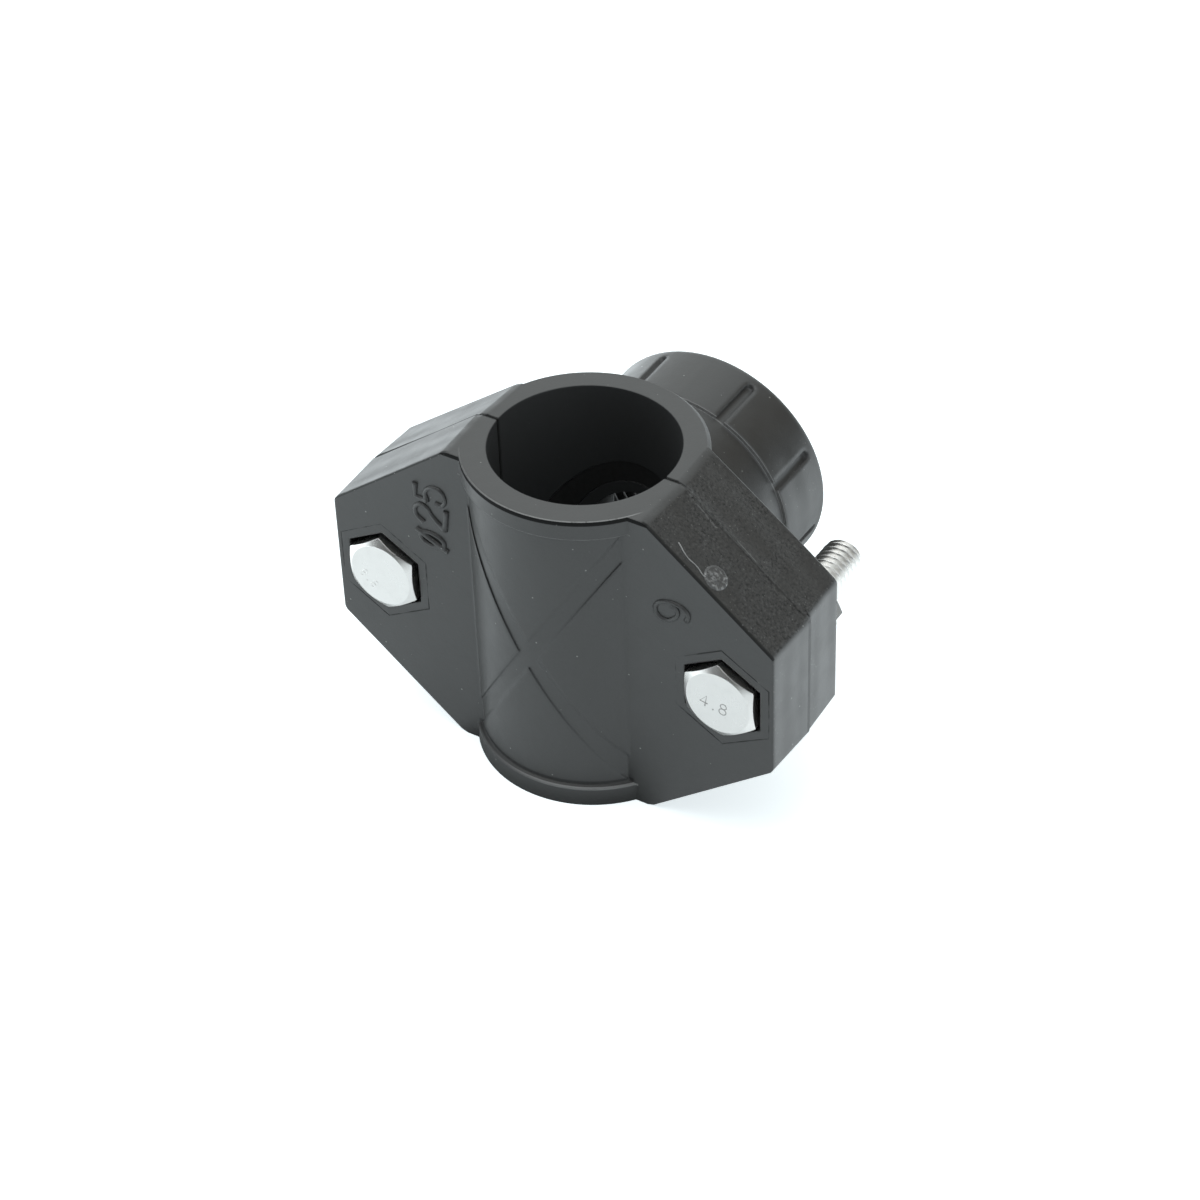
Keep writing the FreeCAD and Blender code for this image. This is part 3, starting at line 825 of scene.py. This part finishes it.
# How deep the thread's roots and its hidden outer skin lie inside the wall
ROOT_SUNK = 0.02 * MM
SKIN_SUNK = 0.3 * MM
# The flats of crest and root, as a share of the pitch
OUTLET_FLAT = 0.1
OUTLET_SEGMENTS = 128
socket_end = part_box("branch_half")[1][1]
THREAD_FLOOR = socket_end - 14.9 * MM
THREAD_MOUTH = socket_end - 0.7 * MM


def make_outlet_thread():
    rows = []
    for level in steps(THREAD_FLOOR, THREAD_MOUTH, OUTLET_PITCH / ROWS_PER_TURN):
        fade = min(1, (THREAD_MOUTH - level) / OUTLET_PITCH, (level - THREAD_FLOOR) / (0.4 * OUTLET_PITCH))
        row = []
        for turn in angles(OUTLET_SEGMENTS):
            height = ridge(level / OUTLET_PITCH - turn / (2 * math.pi), OUTLET_FLAT, OUTLET_FLAT)
            height = height * height * (3 - 2 * height)
            row.append((OUTLET_ROOT + ROOT_SUNK - (OUTLET_DEPTH + ROOT_SUNK) * height * fade, level))
        rows.append(row)
    for level in (THREAD_MOUTH, THREAD_FLOOR):
        rows.append([(OUTLET_ROOT + SKIN_SUNK, level)] * OUTLET_SEGMENTS)
    centre = Vector((0, 0, MIDDLE.z))
    skin("outlet_thread", centre, rows, True, "saddle", plastic_branch)


make_outlet_thread()

# %% [markdown]
# ## Moulded marks
# The bore's size and a cavity number stand proud of the ears, because they were cut into the mould. Each
# figure is a few strokes, and each stroke is a flattened round bar that lies on the face. Its upper right
# flank mirrors the dark side of the tent, which is what makes the figures readable in black on black.

# %% Figures as strokes
# Each figure fits a box 1 high. A stroke is closed, smooth or straight. The number is how far the next
# figure is away.
FIGURES = {
    "\u00d8": (0.66, [("closed", [(0.11, 0.78), (0.33, 0.38), (0.11, -0.02), (-0.11, 0.38)]),
                      ("straight", [(-0.07, -0.16), (0.26, 0.93)])]),
    "2": (0.80, [("smooth", [(-0.05, 0.70), (0.18, 1.0), (0.52, 0.90), (0.53, 0.66), (0.33, 0.46),
                             (0.0, 0.0)]),
                 ("straight", [(0.0, 0.0), (0.72, 0.0)])]),
    "4": (0.85, [("straight", [(0.45, 0), (0.45, 1), (0, 0.3), (0.62, 0.3)])]),
    "5": (0.80, [("straight", [(0.43, 1.07), (-0.02, 1.03), (-0.03, 0.65)]),
                 ("smooth", [(-0.03, 0.65), (0.30, 0.72), (0.56, 0.38), (0.41, 0.12), (0.07, 0.13),
                             (0.01, 0.35)])]),
    "6": (0.85, [("smooth", [(0.42, 0.94), (0.22, 1.0), (0.07, 0.90), (-0.02, 0.65), (0.01, 0.33),
                             (0.14, 0.09), (0.35, 0.0), (0.55, 0.10), (0.62, 0.32), (0.51, 0.53),
                             (0.32, 0.67), (0.15, 0.65), (0.06, 0.50)])]),
    "8": (0.85, [("closed", [(0.3, 0.53), (0.06, 0.76), (0.3, 1.0), (0.54, 0.76)]),
                 ("closed", [(0.3, 0.53), (0.02, 0.27), (0.3, 0.0), (0.58, 0.27)])]),
    ".": (0.70, [("straight", [(0.25, 0), (0.25, 0.08)])]),
}
END_BULB = 1.3


def add_stroke(curve, kind, points):
    spline = curve.splines.new("BEZIER")
    spline.bezier_points.add(len(points) - 1)
    handle = "VECTOR" if kind == "straight" else "AUTO"
    for knot, point in zip(spline.bezier_points, points):
        knot.co = point
        knot.handle_left_type = handle
        knot.handle_right_type = handle
    if kind != "closed":
        spline.bezier_points[0].radius = END_BULB
        spline.bezier_points[-1].radius = END_BULB
    spline.use_cyclic_u = kind == "closed"
    spline.resolution_u = 10


def bars(name, strokes, thickness, level, flatness):
    """A mesh of round bars along strokes, flattened towards a level along the outlet."""
    curve = bpy.data.curves.new(name, "CURVE")
    curve.dimensions = "3D"
    curve.bevel_depth = thickness
    curve.bevel_resolution = 4
    curve.use_fill_caps = True
    for kind, points in strokes:
        add_stroke(curve, kind, points)
    holder = bpy.data.objects.new(name + "_curve", curve)
    mesh = bpy.data.meshes.new_from_object(holder)
    mesh.name = name
    bpy.data.objects.remove(holder)
    for corner in mesh.vertices:
        corner.co.y = level + (corner.co.y - level) * flatness
    return mesh


def write(text, start, along, upward, height):
    """The strokes of a word of figures from its lower left corner on."""
    strokes = []
    place = 0.0
    for letter in text:
        advance, shapes = FIGURES[letter]
        for kind, points in shapes:
            strokes.append((kind, [start + (along * (place + u) + upward * v) * height for u, v in points]))
        place += advance
    return strokes


# %% Figures on the ears
FIGURE_BAR = 0.32 * MM
FIGURE_FLATNESS = 0.92
# For each mark: its text, its lower left corner in X and Z, its direction, the way up and the height
EAR_MARKS = {
    "size_figures": ("\u00d825", (-15.85, 31.5), (0.134, 0.991), (-0.991, 0.134), 4.65),
    "cavity_figure": ("6", (16.19, 36.36), (0, -1), (1, 0), 4.83),
}
for name, (text, corner, along, upward, figure_height) in EAR_MARKS.items():
    start = Vector((corner[0] * MM, FRONT_FACE, corner[1] * MM))
    strokes = write(text, start, Vector((along[0], 0, along[1])), Vector((upward[0], 0, upward[1])),
                    figure_height * MM)
    mesh = bars(name, strokes, FIGURE_BAR, FRONT_FACE, FIGURE_FLATNESS)
    finish_piece(name, mesh, "clamp", plastic_clamp)

# %% [markdown]
# ### Gate scar
# The plastic was injected through a gate on the clamp half's right slope. Where it was broken off, a low
# round scar is left, with a torn ridge across it, and a thin hair of plastic that runs from it up the slope.
# The scar is a small mesh of rings whose height follows its distance and a little noise.

# %% Gate scar
SCAR_CENTRE = Vector((23.63, -7.73, 40.74)) * MM
SCAR_FACING = Vector((0.617, -0.035, 0.787)).normalized()
SCAR_RADIUS = 1.75 * MM
SCAR_RINGS = 24
# Heights over the slope: of the scar, of its rim and of the torn ridge
SCAR_HEIGHT = 0.14 * MM
SCAR_RIM = 0.10 * MM
SCAR_RIDGE = 0.22 * MM
HAIR_BAR = 0.07 * MM
HAIR = [Vector(point) * MM for point in ((18.58, -8.17, 44.70), (20.21, -8.78, 43.42), (21.58, -8.72, 42.35),
                                         (22.55, -8.95, 41.58), (23.05, -8.80, 41.19), (23.88, -9.05, 40.53))]


def make_torn(name, start, stop):
    """Plastic that broke pale, where its noise lies between start and stop."""
    material, wire = new_material(name)
    place = wire.node("ShaderNodeTexCoord", output="Object")
    lumps = place.noise(1.4, 4.0, 0.6)
    colour = lumps.rise(start, stop).blend(grey(0.05), grey(0.36))
    bump = wire.node("ShaderNodeBump", None, {"Distance": 1.0, "Height": lumps * 0.12 * MM})
    finish_material(wire, Base_Color=colour, Roughness=0.45, IOR=1.75, Normal=bump)
    return material


def scar_height(away, turn):
    """Height over the face. away runs from 0 in the middle to 1 at the rim."""
    base = SCAR_HEIGHT * min(1, (1 - away) * 5) - 0.02 * MM
    rim = SCAR_RIM * math.exp(-((away - 0.82) / 0.10) ** 2) * (0.6 + 0.4 * math.cos(turn - 0.6))
    line = away * math.sin(turn + 0.35) - 0.22
    torn = SCAR_RIDGE * math.exp(-(line / 0.10) ** 2) * math.exp(-(away * math.cos(turn + 0.35) / 0.6) ** 4)
    spot = Vector((away * math.cos(turn), away * math.sin(turn), 0.0))
    return base + (rim + torn) * (0.6 + 0.8 * noise.noise(spot * 5)) + 0.03 * MM * noise.noise(spot * 9)


def make_scar():
    along = SCAR_FACING.cross(Vector((0, 1, 0))).normalized()
    upward = SCAR_FACING.cross(along)
    points = [SCAR_CENTRE + SCAR_FACING * scar_height(0, 0)]
    faces = []
    for ring_number in range(1, SCAR_RINGS + 1):
        away = ring_number / SCAR_RINGS
        for step, turn in enumerate(angles()):
            wobble = noise.noise(Vector((math.cos(turn), math.sin(turn), 2)) * 2)
            reach = SCAR_RADIUS * away * (1 + 0.05 * wobble)
            spot = along * math.cos(turn) + upward * math.sin(turn)
            points.append(SCAR_CENTRE + spot * reach + SCAR_FACING * scar_height(away, turn))
            this, beside = len(points) - 1, len(points) - 1 - step + (step + 1) % SEGMENTS
            if ring_number == 1:
                faces.append((0, this, beside))
            else:
                faces.append((this - SEGMENTS, this, beside, beside - SEGMENTS))
    mesh = bpy.data.meshes.new("gate_scar")
    mesh.from_pydata(points, [], faces)
    finish_piece("gate_scar", mesh, "clamp", torn, 60)


torn = make_torn("torn_plastic", 0.47, 0.76)
pale = make_torn("pale_plastic", 0.1, 0.5)
make_scar()
mesh = bars("gate_hair", [("smooth", HAIR)], HAIR_BAR, 0, 1)
finish_piece("gate_hair", mesh, "clamp", pale)

# %% [markdown]
# ### Flash in the right parting
# On the right slope the gap between the halves is closed by a thin strip of flash that belongs to the clamp
# half. It bridges the small step from one half's slope to the other's.

# %% Flash strip
# For the strip's two long edges: where they start and stop in X and Z, and their place along the outlet
FLASH_EDGES = (((15.69, 47.26), (32.96, 33.71), -1.55), ((15.29, 47.27), (32.63, 34.06), -0.40))
FLASH_STEPS = 80
# How far the strip stands off the slope in X and Z, how ragged each edge is, and its lumps from end to end
FLASH_OFF = (0.012, 0.016)
FLASH_RAGGED = (-0.15, 0.30)
FLASH_LUMPS = 23


def make_flash():
    points = []
    faces = []
    for step in range(FLASH_STEPS + 1):
        share = step / FLASH_STEPS
        rough = noise.noise(Vector((share * FLASH_LUMPS, 0, 0)))
        for (start, stop, along), bias in zip(FLASH_EDGES, FLASH_RAGGED):
            spot = [first + (last - first) * share for first, last in zip(start, stop)]
            points.append(Vector((spot[0] + FLASH_OFF[0], along + bias * rough, spot[1] + FLASH_OFF[1])) * MM)
    for step in range(FLASH_STEPS):
        faces.append((2 * step, 2 * step + 1, 2 * step + 3, 2 * step + 2))
    mesh = bpy.data.meshes.new("parting_flash")
    mesh.from_pydata(points, [], faces)
    return finish_piece("parting_flash", mesh, "clamp", plastic_clamp)


make_flash()

# %% Figures on the screw heads
HEAD_BAR = 0.09 * MM
HEAD_FLATNESS = 0.7
# On each head: the text, its lower left corner from the middle of the head, its direction, its height and
# its finish, which on the right head is zinc darkened with painted shade
HEAD_FIGURES = {
    "left": ("8.8", (-3.45, -0.75), (0.75, -0.66), 1.35, zinc),
    "right": ("4.8", (-2.65, -1.05), (0.987, -0.160), 1.8, shaded_zinc),
}
for side, (text, corner, along, figure_height, material) in HEAD_FIGURES.items():
    centre, face = bolt_axes[side][:2]
    start = Vector((centre.x + corner[0] * MM, face + 0.03 * MM, centre.z + corner[1] * MM))
    strokes = write(text, start, Vector((along[0], 0, along[1])), Vector((-along[1], 0, along[0])),
                    figure_height * MM)
    mesh = bars("grade_figures_" + side, strokes, HEAD_BAR, face, HEAD_FLATNESS)
    finish_piece("grade_figures_" + side, mesh, "clamp", material)
